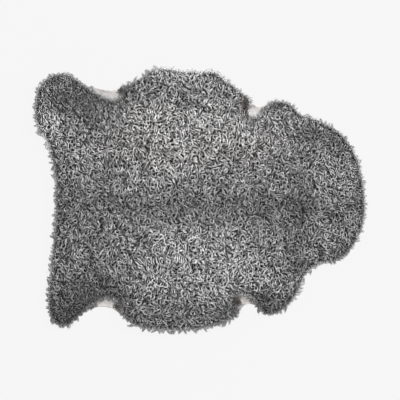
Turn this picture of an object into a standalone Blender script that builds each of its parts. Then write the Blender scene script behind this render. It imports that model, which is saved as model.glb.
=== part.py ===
"""Sheepskin rug: a tanned hide lying flat and its curly fleece, a lumpy slab with locks round its rim.

The neck points along +X, the rump along -X, and the animal's left side is +Y. The rug rests on Z = 0,
centred on the origin.
"""

import math
import random
from collections import namedtuple

import bmesh
import bpy
import numpy as np
from mathutils import Vector, noise
from mathutils.geometry import delaunay_2d_cdt

MM = 0.001
SPAN_POINTS = 24  # points worked out between two neighbours of the outline table

# Hide
HIDE_THICKNESS = 2.0 * MM
HIDE_STEP = 14.0 * MM  # spacing of the points along its edge
HIDE_GRID = 70.0 * MM
LIP_WIDTH = 11.0 * MM  # part of a bare margin that lifts off the floor
LIP_RISE = 5.0 * MM
LIP_BEND = 0.3  # share of the rise reached halfway out along the lip
LIP_FROM = 9.0 * MM  # a margin barer than this starts to lift
LIP_FULL = 17.0 * MM  # and one as bare as this lifts in full

# Fleece
PIECE_GAP = 0.3 * MM
CROWN = 26.0 * MM  # height of the wool over the floor, away from the edge
CROWN_REACH = 65.0 * MM  # how far in from the edge the wool reaches its crown
SHOULDER_REACH = 24.0 * MM  # width of the rounded shoulder
BELLY_SHARE = 0.30  # height of the side wall's widest line, as a share of the wool's height
SHOULDER_SHARE = 0.60  # height of the side wall's top line
FOOT_INSET = 3.0 * MM
SHOULDER_INSET = 3.5 * MM
RIM_STEP = 10.0 * MM
CROWN_GRID = 16.5 * MM
UNDERSIDE_GRID = 70.0 * MM
GRID_JITTER = 0.16  # share of the grid's spacing
LUMP_SIZE = 36.0 * MM
LUMP_HEIGHT = 4.5 * MM
TUFT_SIZE = 13.0 * MM
TUFT_HEIGHT = 2.0 * MM

# Locks at the rim
LOCK_LENGTH = (7.0 * MM, 11.5 * MM)
LOCK_STATIONS = ((0.36, 0.84), (0.70, 0.62), (1.0, 0.24))  # share of the length, share of the root's size
LOCK_CURL = (math.radians(12), math.radians(38))  # sideways turn after each station
LOCK_SAG = 0.7  # under 1, a lock sinks mostly near its root
LOCK_DROOP = 2.0 * MM  # how far the tip of an upper lock sinks
LOCK_MIN_PILE = 15.0 * MM  # lower wool than this has a trimmed edge with no locks
LOCK_MIN_OVERHANG = 4.3 * MM  # and so has wool whose foot doesn't clear the hide's edge

SEED = 17

EdgePoint = namedtuple("EdgePoint", "place x y overhang pile")
Rim = namedtuple("Rim", "edge outward overhang pile")

# The hide's cut edge, round from the end of the neck by the animal's left side: where each point lies, how
# far the wool passes the edge there (less than nothing where the hide is bare) and how high the wool
# stands. All are in millimetres.
EDGE = (
    EdgePoint("neck", 440, -33, 5, 21),
    EdgePoint("neck", 425, 95, 5, 21),
    EdgePoint("neck", 380, 171, 5, 21),
    EdgePoint("neck", 309, 213, 5, 21),
    EdgePoint("left foreleg", 272, 224, 5, 20),
    EdgePoint("left foreleg", 241, 253, 5, 20),
    EdgePoint("left foreleg", 204, 261, 4, 17),
    EdgePoint("left armpit", 178, 254, -4, 11),
    EdgePoint("left armpit", 164, 252, -18, 8),
    EdgePoint("left armpit", 151, 254, -30, 8),
    EdgePoint("left armpit", 138, 263, -1, 13),
    EdgePoint("left flank", 117, 281, 5, 18),
    EdgePoint("left flank", 65, 319, 5, 21),
    EdgePoint("left flank", 43, 338, 5, 21),
    EdgePoint("left flank", -26, 339, 5, 21),
    EdgePoint("left flank", -118, 348, 5, 21),
    EdgePoint("left flank", -158, 322, 4, 19),
    EdgePoint("left groin", -204, 304, 0, 13),
    EdgePoint("left groin", -225, 294, -23, 8),
    EdgePoint("left groin", -258, 296, -18, 8),
    EdgePoint("left groin", -306, 311, -4, 10),
    EdgePoint("left hind leg", -361, 335, 4, 19),
    EdgePoint("left hind leg", -404, 323, 5, 21),
    EdgePoint("left hind leg", -432, 292, 5, 21),
    EdgePoint("left hind leg", -435, 203, 5, 21),
    EdgePoint("rump", -408, 156, 5, 21),
    EdgePoint("rump", -387, 74, 5, 21),
    EdgePoint("rump", -384, -28, 5, 21),
    EdgePoint("rump", -390, -125, 5, 21),
    EdgePoint("rump", -397, -194, 5, 21),
    EdgePoint("right hind leg", -403, -278, 5, 21),
    EdgePoint("right hind leg", -393, -322, 5, 20),
    EdgePoint("right hind leg", -362, -339, 3, 15),
    EdgePoint("right groin", -308, -303, -3, 10),
    EdgePoint("right groin", -272, -290, -16, 8),
    EdgePoint("right groin", -240, -292, -24, 8),
    EdgePoint("right groin", -212, -311, -2, 12),
    EdgePoint("right flank", -167, -338, 5, 20),
    EdgePoint("right flank", -74, -349, 5, 21),
    EdgePoint("right flank", 25, -341, 5, 21),
    EdgePoint("right flank", 95, -314, 5, 18),
    EdgePoint("right armpit", 110, -300, -1, 13),
    EdgePoint("right armpit", 121, -285, -29, 8),
    EdgePoint("right armpit", 135, -281, -15, 8),
    EdgePoint("right armpit", 150, -287, -4, 11),
    EdgePoint("right foreleg", 173, -304, 4, 17),
    EdgePoint("right foreleg", 201, -304, 5, 20),
    EdgePoint("right foreleg", 238, -278, 5, 20),
    EdgePoint("right foreleg", 263, -245, 5, 20),
    EdgePoint("right foreleg", 279, -204, 5, 20),
    EdgePoint("neck", 317, -172, 5, 21),
    EdgePoint("neck", 362, -163, 5, 21),
    EdgePoint("neck", 397, -137, 5, 21),
    EdgePoint("neck", 425, -97, 5, 21),
)


def clear_scene():
    """Remove whatever objects the file opened with."""
    for thing in list(bpy.data.objects):
        bpy.data.objects.remove(thing, do_unlink=True)


def ease(value):
    """Rise smoothly from 0 to 1 as the value does, level at both ends."""
    share = np.clip(value, 0.0, 1.0)
    return share * share * (3.0 - 2.0 * share)


def resample(rows, step):
    """The same closed line at even steps of about the given length, every column blended alike."""
    rows = np.vstack([rows, rows[:1]])
    travel = np.concatenate([[0.0], np.cumsum(np.linalg.norm(np.diff(rows[:, :2], axis=0), axis=1))])
    count = 2 * round(travel[-1] / step / 2)
    stops = np.linspace(0.0, travel[-1], count, endpoint=False)
    return np.stack([np.interp(stops, travel, column) for column in rows.T], axis=1)


def closed_curve(knots, step):
    """Rows at even steps along a smooth closed curve through the knots."""
    after = np.roll(knots, -1, axis=0)
    chord = np.linalg.norm((after - knots)[:, :2], axis=1)[:, None]
    slope = (after - np.roll(knots, 1, axis=0)) / (chord + np.roll(chord, 1, axis=0))
    next_slope = np.roll(slope, -1, axis=0)
    fine = []
    for t in np.linspace(0.0, 1.0, SPAN_POINTS, endpoint=False):
        level = knots * (2 * t**3 - 3 * t**2 + 1) + after * (3 * t**2 - 2 * t**3)
        lean = slope * (t**3 - 2 * t**2 + t) + next_slope * (t**3 - t**2)
        fine.append(level + chord * lean)
    return resample(np.stack(fine, axis=1).reshape(-1, knots.shape[1]), step)


def outward_of(loop):
    """Directions that point out of a closed line which runs anticlockwise."""
    along = np.roll(loop, -1, axis=0) - np.roll(loop, 1, axis=0)
    outward = np.stack([along[:, 1], -along[:, 0]], axis=1)
    return outward / np.linalg.norm(outward, axis=1)[:, None]


def hide_rim(step):
    """The hide's cut edge at even steps."""
    rows = closed_curve(np.array([point[1:] for point in EDGE], float) * MM, step)
    return Rim(rows[:, :2], outward_of(rows[:, :2]), rows[:, 2], rows[:, 3])


def wool_rim(step):
    """The widest line of the wool at even steps, laid off from the hide's edge."""
    hide = hide_rim(step / 4)
    body = hide.edge + hide.outward * hide.overhang[:, None]
    rows = resample(np.column_stack([body, hide.overhang, hide.pile]), step)
    return Rim(rows[:, :2], outward_of(rows[:, :2]), rows[:, 2], rows[:, 3])


def is_inside(points, loop):
    """Whether each point lies inside the closed loop, by counting the edges that it sees on one side."""
    after = np.roll(loop, -1, axis=0)
    x, y = points[:, :1], points[:, 1:]
    spans = (loop[:, 1] > y) != (after[:, 1] > y)
    rise = np.where(after[:, 1] == loop[:, 1], 1.0, after[:, 1] - loop[:, 1])
    crossing = loop[:, 0] + (y - loop[:, 1]) * (after[:, 0] - loop[:, 0]) / rise
    return (spans & (x < crossing)).sum(axis=1) % 2 == 1


def grid_inside(loop, spacing, rng):
    """Staggered, slightly uneven points inside a loop, kept over half a spacing away from it."""
    low, high = loop.min(axis=0), loop.max(axis=0)
    points = []
    row_height = spacing * math.sqrt(0.75)
    for row in range(int((high[1] - low[1]) / row_height) + 1):
        start = low[0] + spacing * 0.5 * (row % 2)
        for column in range(int((high[0] - low[0]) / spacing) + 1):
            nudge_x = rng.uniform(-GRID_JITTER, GRID_JITTER) * spacing
            nudge_y = rng.uniform(-GRID_JITTER, GRID_JITTER) * spacing
            points.append((start + column * spacing + nudge_x, low[1] + row * row_height + nudge_y))
    points = np.array(points)
    distance = np.linalg.norm(points[:, None] - loop[None], axis=2).min(axis=1)
    return points[is_inside(points, loop) & (distance > 0.55 * spacing)]


def add_ring(bm, points, heights):
    """Add one closed ring of vertices."""
    return [bm.verts.new((x, y, z)) for (x, y), z in zip(points, heights)]


def add_wall(bm, lower, upper):
    """Join two rings with quads that face outwards."""
    faces = []
    for i in range(len(lower)):
        j = (i + 1) % len(lower)
        faces.append(bm.faces.new((lower[i], lower[j], upper[j], upper[i])))
    return faces


def add_cover(bm, ring, inner, heights, upward):
    """Close a ring with triangles over its own vertices and the inner points."""
    verts = ring + add_ring(bm, inner, heights)
    flat = [Vector(vert.co[:2]) for vert in verts]
    result = delaunay_2d_cdt(flat, [], [list(range(len(ring)))], 1, 1e-7)
    origin = [sources[0] for sources in result[3]]
    for triangle in result[2]:
        corners = [verts[origin[i]] for i in triangle]
        bm.faces.new(corners if upward else corners[::-1])


def new_object(name, bm, material):
    """Turn a finished bmesh into a smooth-shaded object with its material."""
    mesh = bpy.data.meshes.new(name)
    bm.to_mesh(mesh)
    bm.free()
    mesh.shade_smooth()
    mesh.set_sharp_from_angle(angle=math.radians(60))
    mesh.materials.append(material)
    thing = bpy.data.objects.new(name, mesh)
    bpy.context.scene.collection.objects.link(thing)
    return thing


def plain_material(name, colour, roughness):
    """A plain surface of one colour."""
    material = bpy.data.materials.new(name)
    material.use_nodes = True
    surface = material.node_tree.nodes["Principled BSDF"]
    surface.inputs["Base Color"].default_value = (*colour, 1.0)
    surface.inputs["Roughness"].default_value = roughness
    surface.inputs["Metallic"].default_value = 0.0
    return material


def make_hide(rng):
    """The tanned skin: a flat sheet whose bare margins lift off the floor as a soft lip."""
    rim = hide_rim(HIDE_STEP)
    lift = LIP_RISE * ease((-rim.overhang - LIP_FROM) / (LIP_FULL - LIP_FROM))
    bm = bmesh.new()
    under, over = [], []
    for inset, rise in ((LIP_WIDTH, 0.0), (LIP_WIDTH / 2, LIP_BEND), (0.0, 1.0)):
        points = rim.edge - rim.outward * inset
        under.append(add_ring(bm, points, lift * rise))
        over.append(add_ring(bm, points, lift * rise + HIDE_THICKNESS))
    for inner, outer in zip(under, under[1:]):
        add_wall(bm, inner, outer)
    for inner, outer in zip(over, over[1:]):
        add_wall(bm, outer, inner)
    add_wall(bm, under[-1], over[-1])
    inner = grid_inside(rim.edge - rim.outward * LIP_WIDTH, HIDE_GRID, rng)
    add_cover(bm, under[0], inner, np.zeros(len(inner)), upward=False)
    add_cover(bm, over[0], inner, np.full(len(inner), HIDE_THICKNESS), upward=True)
    return new_object("hide", bm, plain_material("pale suede", (0.66, 0.635, 0.62), 0.85))


def wool_height(points, outline, pile, base):
    """Height of the top of the wool: a rounded shoulder at the outline, then a lumpy crown."""
    gaps = np.linalg.norm(points[:, None] - outline[None], axis=2) + 1.0 * MM
    nearness = gaps**-3.0
    edge_pile = nearness @ pile / nearness.sum(axis=1)
    depth = gaps.min(axis=1)
    full = edge_pile + (CROWN - edge_pile) * ease(depth / CROWN_REACH)
    turn = 1.0 - np.clip(depth / SHOULDER_REACH, 0.0, 1.0)
    share = SHOULDER_SHARE + (1.0 - SHOULDER_SHARE) * np.sqrt(1.0 - turn * turn)
    lumps = np.array([lump(x, y) for x, y in points]) * ease(depth / CROWN_REACH * 2.0) * full / CROWN
    return base + (full - base) * share + lumps


def lump(x, y):
    """Unevenness of the wool at one place: broad lumps with smaller tufts on them."""
    broad = noise.noise(Vector((x, y, 0.0)) / LUMP_SIZE)
    small = noise.noise(Vector((x, y, 1.0)) / TUFT_SIZE)
    return 2.0 * (LUMP_HEIGHT * broad + TUFT_HEIGHT * small)


def lock_section(spot, heading, half_width, half_thickness):
    """Corners of a lock's cross-section, in the order of the wall face that it grows from."""
    aside = Vector((-math.sin(heading), math.cos(heading), 0.0)) * half_width
    up = Vector((0.0, 0.0, half_thickness))
    return (spot - aside - up, spot + aside - up, spot + aside + up, spot - aside + up)


def add_lock(bm, root, heading, sinks_to, rng):
    """Pull one tapering, curling lock out of a face of the side wall, sinking no lower than the floor."""
    ring = list(root.verts)
    start = root.calc_center_median()
    half_width = (ring[1].co - ring[0].co).length / 2
    half_thickness = (ring[3].co - ring[0].co).length / 2
    bm.faces.remove(root)
    length = rng.uniform(*LOCK_LENGTH)
    curl = rng.choice((-1.0, 1.0)) * rng.uniform(*LOCK_CURL)
    spot = start.copy()
    reached = 0.0
    for travel, size in LOCK_STATIONS:
        spot += Vector((math.cos(heading), math.sin(heading), 0.0)) * (travel - reached) * length
        spot.z = max(start.z + (sinks_to - start.z) * travel**LOCK_SAG, half_thickness * size)
        section = lock_section(spot, heading, half_width * size, half_thickness * size)
        outer = [bm.verts.new(corner) for corner in section]
        add_wall(bm, ring, outer)
        ring = outer
        reached = travel
        heading += curl
    bm.faces.new(ring)


def add_locks(bm, walls, rim, rng):
    """Two staggered rows of locks: the lower one lies on the floor, the upper one hangs over its gaps."""
    for row, faces in enumerate(walls):
        for i in range(row, len(faces), 2):
            if rim.pile[i] < LOCK_MIN_PILE or rim.overhang[i] < LOCK_MIN_OVERHANG:
                continue
            heading = math.atan2(rim.outward[i][1], rim.outward[i][0])
            sinks_to = faces[i].calc_center_median().z - LOCK_DROOP if row else 0.0
            add_lock(bm, faces[i], heading, sinks_to, rng)


def make_fleece(rng):
    """The wool: a lumpy slab with a rounded shoulder, trimmed low beside the bare margins."""
    rim = wool_rim(RIM_STEP)
    base = HIDE_THICKNESS + PIECE_GAP
    foot_loop = rim.edge - rim.outward * FOOT_INSET
    shoulder_loop = rim.edge - rim.outward * SHOULDER_INSET
    depth = rim.pile - base
    bm = bmesh.new()
    foot = add_ring(bm, foot_loop, np.full(len(depth), base))
    belly = add_ring(bm, rim.edge, base + depth * BELLY_SHARE)
    shoulder = add_ring(bm, shoulder_loop, base + depth * SHOULDER_SHARE)
    walls = (add_wall(bm, foot, belly), add_wall(bm, belly, shoulder))
    underside = grid_inside(foot_loop, UNDERSIDE_GRID, rng)
    add_cover(bm, foot, underside, np.full(len(underside), base), upward=False)
    crown = grid_inside(shoulder_loop, CROWN_GRID, rng)
    add_cover(bm, shoulder, crown, wool_height(crown, shoulder_loop, rim.pile, base), upward=True)
    add_locks(bm, walls, rim, rng)
    return new_object("fleece", bm, plain_material("grey wool", (0.19, 0.19, 0.188), 0.95))


def centre_on_floor(things):
    """Slide all pieces together until the middle of their box stands over the origin."""
    corners = np.array([vert.co[:2] for thing in things for vert in thing.data.vertices])
    middle = (corners.min(axis=0) + corners.max(axis=0)) / 2
    for thing in things:
        for vert in thing.data.vertices:
            vert.co.x -= middle[0]
            vert.co.y -= middle[1]


def main():
    clear_scene()
    rng = random.Random(SEED)
    centre_on_floor([make_hide(rng), make_fleece(rng)])


main()
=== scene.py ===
"""Looks of a curly sheepskin rug: its hide, its underwool and every curl, rim lock and stray fibre."""

import math
from collections import namedtuple

import bpy
import numpy as np
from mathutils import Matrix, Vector
from mathutils.bvhtree import BVHTree
from mathutils.geometry import delaunay_2d_cdt


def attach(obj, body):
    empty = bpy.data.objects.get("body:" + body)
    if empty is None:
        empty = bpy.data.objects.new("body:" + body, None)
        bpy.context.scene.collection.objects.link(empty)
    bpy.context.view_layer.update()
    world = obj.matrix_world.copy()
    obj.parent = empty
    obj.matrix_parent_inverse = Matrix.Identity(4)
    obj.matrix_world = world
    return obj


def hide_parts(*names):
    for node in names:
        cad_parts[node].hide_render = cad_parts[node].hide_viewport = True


MM = 0.001
SEED = 20

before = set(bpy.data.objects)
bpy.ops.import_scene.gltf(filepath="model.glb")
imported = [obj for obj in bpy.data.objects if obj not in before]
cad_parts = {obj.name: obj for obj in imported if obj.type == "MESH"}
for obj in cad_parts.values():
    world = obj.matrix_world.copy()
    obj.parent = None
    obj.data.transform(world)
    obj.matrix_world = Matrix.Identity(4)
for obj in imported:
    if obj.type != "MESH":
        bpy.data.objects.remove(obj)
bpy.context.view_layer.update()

# ---------------------------------------------------------------- sizes

# Lengths are in metres and turns in radians, unless a comment says otherwise. Most pairs of numbers are the
# least and the most of something that differs at random from one lock to the next.

HIDE_THICKNESS = 2.0 * MM
HIDE_STEP = 4.0 * MM  # spacing of the points along the hide's cut edge
HIDE_TRIM = 0.5 * MM  # how far inside its solid the hide is cut
HIDE_UNEVEN = 0.4 * MM  # and how much that cut wanders
HIDE_WANDER = 22.0 * MM  # over waves of about this size
HIDE_RINGS = (3.0 * MM, 7.5 * MM, 13.0 * MM, 20.0 * MM, 30.0 * MM)  # rings of points inside the edge
HIDE_RING_CLEAR = 0.9  # least distance of a ring's points from the edge, as a share of the ring's own
HIDE_GRID = 20.0 * MM
HIDE_JITTER = 0.2
HIDE_INNER = HIDE_RINGS[-1] + 6.0 * MM  # how far in from the edge its scattered points start
WRINKLE = 0.35 * MM
WRINKLE_SIZE = 9.0 * MM
WRINKLED = 45.0 * MM  # how far in from the edge the wrinkles reach
WRINKLE_FADE = 10.0 * MM

UNDERWOOL_STEP = 8.0 * MM
UNDERWOOL_GRID = 11.0 * MM
UNDERWOOL_JITTER = 0.3
UNDERWOOL_INNER = 4.0 * MM
UNDERWOOL_TRIM = 1.0 * MM  # how far inside the wool's foot it stays
UNDERWOOL_GAP = 0.1 * MM  # and how far over the hide it starts
UNDERWOOL_SHARE = 0.75  # height of the felted underwool, as a share of the wool's
UNDERWOOL_UNEVEN = 0.12
UNDERWOOL_WAVES = 26.0 * MM
UNDERWOOL_BELOW = 5.5 * MM  # but it stays at least this far under the top of the wool
UNDERWOOL_LEAST = 1.2 * MM  # and at least this far over the hide
FOOT_HEIGHT = 2.3 * MM  # where the flat foot of the wool lies
FOOT_STEP = 3.0 * MM
RELIEF_STEP = 3.0 * MM
RELIEF_MARGIN = 30.0 * MM

FULL_WOOL = 15.0 * MM  # wool this high has curls of full size
SHORT_WOOL = 6.0 * MM  # and wool this low has the smallest
LEAST_SIZE = 0.6
SLOPE_REACH = 7.0 * MM  # how far to each side the slope of the wool is read
STEEPEST = 1.2

CURL_SPACING = 5.3 * MM
CURL_JITTER = 0.38  # how uneven the places are, as a share of their spacing
CURL_EDGE = 0.2 * MM  # how far the outermost curls stand from the wool's foot
CURL_LIFT = (-2.5 * MM, 1.0 * MM)
CURL_PROUD = 2.5 * MM  # how far over the wool's surface a curl may freely stand
HELD_BACK = 0.8  # and the share of what stands past that which is pressed back
SHADE_DEPTH = 6.0 * MM  # how far down a lock its painted shade grows from none to full
SHADE_AT_SURFACE = 0.25  # and how much painted shade it already takes at the wool's surface

LOCK_POINTS = 7
LOCK_LENGTH = (8.0 * MM, 15.0 * MM)
LOCK_LEAN = 0.3
LOCK_SINK = 6.0 * MM
LOCK_RISEN = 0.2  # share of its length that a lock takes to rise out of the wool
LOCK_TUCK = 2.0 * MM
TUCK_SPAN = (0.8, 0.2)  # where along a lock its tip starts to tuck in, and over how much of it
LOCK_SWAY = 0.25
LOCK_BELLY = 0.25  # how much narrower a lock is at its ends than at its middle
LOCK_TAPER = 0.6  # and how much its tip narrows besides
TAPER_SPAN = (0.72, 0.28)  # where along a lock that starts, and over how much of it
LOCK_FLATNESS = 0.55
STRAND_HALF_WIDTH = (1.05 * MM, 1.65 * MM)
WOOL_CLEAR = 1.2  # least height of a lock's middle over the floor, in half widths of the lock
RIM_CLEAR = 1.1  # and the same for the rim's locks and the stray fibres

# Which way the wool is combed, and how that wanders in waves of these sizes.
COMB_WAY = math.radians(60)
COMB_CROSS = math.radians(65)  # half of the tufts are combed this much further round
COMB_SPREAD = 0.3
COMB_WAVES = (110.0 * MM, 40.0 * MM)
COMB_SCATTER = 0.3  # how far a tuft strays from the way of the wool about it

# The locks of a tuft swirl about its middle, or lie side by side, or lie every way.
TUFT_SPACING = 14.0 * MM
TUFT_JITTER = 0.36
TUFT_SHARES = (0.3, 0.5, 0.2)
TUFT_LIFT = 0.5 * MM
TUFT_DOME = 1.7 * MM  # how much lower the outer locks of a tuft lie than its middle
TUFT_TONE = 0.03
TUFT_DRAW = 0.04  # how far the locks of a tuft are drawn to its middle
TUFT_SCATTER = 0.2  # how far a lock strays from the way of its tuft
TIGHTEST = 2.0 * MM  # the smallest radius that a lock bends to
SWIRL_MOST = 6.0  # and the most that it bends in all
COMBED_BEND = (0.3, 1.2)
LOOSE_BEND = (1.5, 4.0)

NAP_SPACING = 5.0 * MM
NAP_JITTER = 0.4
NAP_EDGE = 0.5 * MM
NAP_BELOW = 14.0 * MM  # wool lower than this has a short nap between its curls
NAP_SIZE = 0.38
NAP_SPREAD = (0.7, 1.2)
NAP_LIFT = (-2.0 * MM, 0.5 * MM)
NAP_PROUD = 0.5 * CURL_PROUD

RIM_ROWS = (0.14, 0.42, 0.7, 0.96)  # height of each row of rim curls, as a share of the rim's height
RIM_ROW_SPREAD = 0.06
RIM_SPACING = 6.5 * MM
RIM_JITTER = 0.3
RIM_PILE_FROM = 14.0 * MM  # how far inside the foot the height of the rim is read
RIM_SWELL = 4.0 * MM  # how far the rim's middle stands out past its foot
RIM_FULLEST = 0.25  # share of the rim's height where it stands out the furthest
RIM_TIP = 60.0  # how steeply the topmost rim curls face up, in degrees
RIM_LEVEL_AT = 0.15  # curls at this share of the rim's height face level
RIM_LEAST_PILE = 7.0 * MM
RIM_LEAST_HEIGHT = 1.5 * MM
RIM_LIFT = (-4.0 * MM, 1.5 * MM)
RIM_SIZE = 0.85

# Pointed tufts round the rim, each of several locks whose tips are drawn together.
POINT_TIERS = (0.1, 0.4, 0.7)
POINT_LOCK_SPACING = 5.0 * MM
POINT_SPACING = 10.0 * MM
POINT_STATIONS = 6
POINT_REACH = (0.5 * MM, 10.2 * MM)
POINT_SPREAD = (0.8, 1.15)
POINT_ROOT = 7.0 * MM
POINT_DRAW = 0.5
POINT_HOOK = 0.8
POINT_SINK = (0.2, 0.8)  # how far down to the floor each tip sinks
POINT_HALF_WIDTH = (1.8 * MM, 2.8 * MM)
POINT_LEAST_WIDTH = 0.4  # share of its width that stays where the wool is low
POINT_TAPER = 0.8
POINT_TAPER_POWER = 1.8
POINT_DROOP_POWER = 1.6
POINT_SHADE = (0.6, 0.4)  # how much painted shade a point takes at its root, and how much less at its tip
POINT_FLATNESS = 0.75

EDGE_NAP_SPACING = 1.6 * MM
EDGE_NAP_BELOW = RIM_LEAST_PILE + 3.0 * MM
EDGE_NAP_OVER = (-3.0 * MM, 2.5 * MM)  # how far past the wool's foot the short nap stands on the bare margins
EDGE_NAP_SIZE = (0.25, 0.45)
EDGE_NAP_SCATTER = 0.9
EDGE_NAP_BEND = 0.8
EDGE_NAP_ROOT = 0.6  # height of its roots, as a share of the wool's
EDGE_NAP_LEAST = 1.0 * MM  # but at least this far over the hide
EDGE_NAP_PROUD = 4.0 * MM

OVERHANG_CROWDED = 0.45  # how close to its middle the locks of an overhanging tuft crowd
OVERHANG_SCATTER = 0.5
OVERHANG_BEND = (0.4, 1.8)
OVERHANG_ROOT = 0.8  # height of its roots, as a share of the wool's
OVERHANG_RISE = (2.0, 5.0)  # and how much more, in mm
OVERHANG_SIZE = (0.55, 0.85)
OVERHANG_PROUD = 7.0 * MM

STRAY_SPACING = 30.0 * MM
STRAY_JITTER = 0.5
STRAY_ROWS = (0.3, 0.8)
STRAY_RIM_SPACING = 16.0 * MM
STRAY_POINTS = 7
STRAY_LENGTH = (9.0 * MM, 18.0 * MM)
STRAY_TURNS = (0.25, 0.9)  # how far round it curls, as a share of a full turn
STRAY_LOOP = 0.35  # how high a stray fibre loops, as a share of its length
STRAY_ARCH = 0.8  # share of that loop's half wave that it covers
STRAY_SINK = 2.0 * MM
STRAY_UPWARD = 0.5  # how much those at the rim face up as well as out
STRAY_HALF_WIDTH = 0.3 * MM
STRAY_TAPER = 0.5
STRAY_SHADE = 0.6  # how much painted shade a stray fibre takes at its root

WOOL_TONE = 0.56  # tint of a middling lock, before the shade and light painted on it
PALEST = 0.95  # and the palest that any lock may be
TONE_POWER = 2.0  # a patch's tone is given as it looks, and the wool's answer to light is its square or so
TINT_SPREAD = 0.14  # how much one lock differs from the next
PATCH_EDGE = 1.3  # how firm the edge of a patch is
WARMING = (1.0, 0.1, -0.6)  # what warmth adds to red, green and blue
PATTERN_REACH = 90.0  # how far apart the locks take their places in the fibres' pattern

# The pieces that hold the curls, from the rump to the neck: the name of each and where along X it ends.
REGIONS = (
    ("wool_rump", -0.27),
    ("wool_loin", -0.10),
    ("wool_back", 0.06),
    ("wool_shoulders", 0.22),
    ("wool_neck", 1.0),
)

ALONG_X = np.array([1.0, 0.0, 0.0])
UP = (0.0, 0.0, 1.0)
FULL_TURN = 2.0 * math.pi
MATCHED_TO = 1e5  # points are matched to a hundred-thousandth of a metre
PAIRS_AT_ONCE = 4_000_000
WAVES = 9  # in each uneven value
WAVE_SPREAD = (0.6, 1.5)  # how much broader or finer than asked each of them is
SIDES = 3  # of each lock
CORNER_TURNS = np.arange(SIDES) * FULL_TURN / SIDES

# ---------------------------------------------------------------- shapes read from the frame


def node_triangles(name):
    """Corners of every triangle of a frame node."""
    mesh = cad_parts[name].data
    mesh.calc_loop_triangles()
    spots = np.empty(len(mesh.vertices) * 3)
    mesh.vertices.foreach_get("co", spots)
    corners = np.empty(len(mesh.loop_triangles) * 3, int)
    mesh.loop_triangles.foreach_get("vertices", corners)
    return spots.reshape(-1, 3)[corners].reshape(-1, 3, 3)


def upward(triangles):
    """The upward part of each triangle's unit normal."""
    across = np.cross(triangles[:, 1] - triangles[:, 0], triangles[:, 2] - triangles[:, 0])
    return across[:, 2] / np.maximum(np.linalg.norm(across, axis=1), 1e-15)


def border(triangles):
    """The longest closed line that borders a patch of triangles, in order, as seen from above."""
    place = {}
    edges = set()
    for points in triangles[:, :, :2]:
        names = [tuple(np.round(point * MATCHED_TO).astype(int)) for point in points]
        place.update(zip(names, points))
        edges.update(((names[0], names[1]), (names[1], names[2]), (names[2], names[0])))
    after = {start: end for start, end in edges if (end, start) not in edges}
    loops = []
    while after:
        start, spot = after.popitem()
        loop = [place[start]]
        while spot in after:
            loop.append(place[spot])
            spot = after.pop(spot)
        loops.append(loop)
    return np.array(max(loops, key=len))


def tree_of(triangles):
    """A search tree over a patch of triangles."""
    corners = np.arange(len(triangles) * 3).reshape(-1, 3)
    return BVHTree.FromPolygons(triangles.reshape(-1, 3).tolist(), corners.tolist())


def heights(tree, spots, from_below=False):
    """Height of a surface over each place on the floor, or nan past its edge."""
    way = 1.0 if from_below else -1.0
    found = np.full(len(spots), np.nan)
    for i, (x, y) in enumerate(spots):
        hit = tree.ray_cast(Vector((x, y, -way)), Vector((0.0, 0.0, way)))[0]
        if hit is not None:
            found[i] = hit.z
    return found


# ---------------------------------------------------------------- closed lines and grids


def resample(loop, step):
    """A closed line at even steps of about the given length."""
    loop = np.vstack([loop, loop[:1]])
    travel = np.concatenate([[0.0], np.cumsum(np.linalg.norm(np.diff(loop, axis=0), axis=1))])
    stops = np.linspace(0.0, travel[-1], round(travel[-1] / step), endpoint=False)
    return np.stack([np.interp(stops, travel, column) for column in loop.T], axis=1)


def rounded(loop, passes):
    """A closed line with its corners eased."""
    for _ in range(passes):
        loop = loop * 0.5 + (np.roll(loop, 1, axis=0) + np.roll(loop, -1, axis=0)) * 0.25
    return loop


def outward_of(loop):
    """Directions that point out of a closed line which runs anticlockwise."""
    along = np.roll(loop, -1, axis=0) - np.roll(loop, 1, axis=0)
    outward = np.stack([along[:, 1], -along[:, 0]], axis=1)
    return outward / np.linalg.norm(outward, axis=1)[:, None]


def is_inside(spots, loop):
    """Whether each place lies inside a closed line, by counting the edges that it sees on one side."""
    after = np.roll(loop, -1, axis=0)
    x, y = spots[:, :1], spots[:, 1:2]
    spans = (loop[:, 1] > y) != (after[:, 1] > y)
    rise = np.where(after[:, 1] == loop[:, 1], 1.0, after[:, 1] - loop[:, 1])
    crossing = loop[:, 0] + (y - loop[:, 1]) * (after[:, 0] - loop[:, 0]) / rise
    return (spans & (x < crossing)).sum(axis=1) % 2 == 1


def over_gaps(spots, others, measure):
    """A measure of the gaps from each place to all the others, in parts that memory can hold."""
    parts = np.array_split(spots, max(1, len(spots) * len(others) // PAIRS_AT_ONCE))
    gaps = (np.linalg.norm(part[:, None] - others[None], axis=2) for part in parts)
    return np.concatenate([measure(gap, axis=1) for gap in gaps])


def distance_to(spots, loop):
    """How far each place is from the nearest point of a line."""
    return over_gaps(spots, loop, np.min)


def nearest(spots, others):
    """Which of the others each place is nearest to."""
    return over_gaps(spots, others, np.argmin)


def scattered(loop, spacing, jitter, clear, rng):
    """Staggered, uneven places inside a closed line, at least so far clear of it."""
    low, high = loop.min(axis=0), loop.max(axis=0)
    row_height = spacing * math.sqrt(0.75)
    columns, rows = np.meshgrid(
        np.arange(int((high[0] - low[0]) / spacing) + 2),
        np.arange(int((high[1] - low[1]) / row_height) + 2),
    )
    x = low[0] + (columns + 0.5 * (rows % 2)) * spacing
    y = low[1] + rows * row_height
    spots = np.column_stack([x.ravel(), y.ravel()])
    spots += rng.uniform(-jitter, jitter, spots.shape) * spacing
    spots = spots[is_inside(spots, loop)]
    return spots[distance_to(spots, loop) > clear]


def ease(value):
    """Rise smoothly from 0 to 1 as the value does, level at both ends."""
    share = np.clip(value, 0.0, 1.0)
    return share * share * (3.0 - 2.0 * share)


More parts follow.
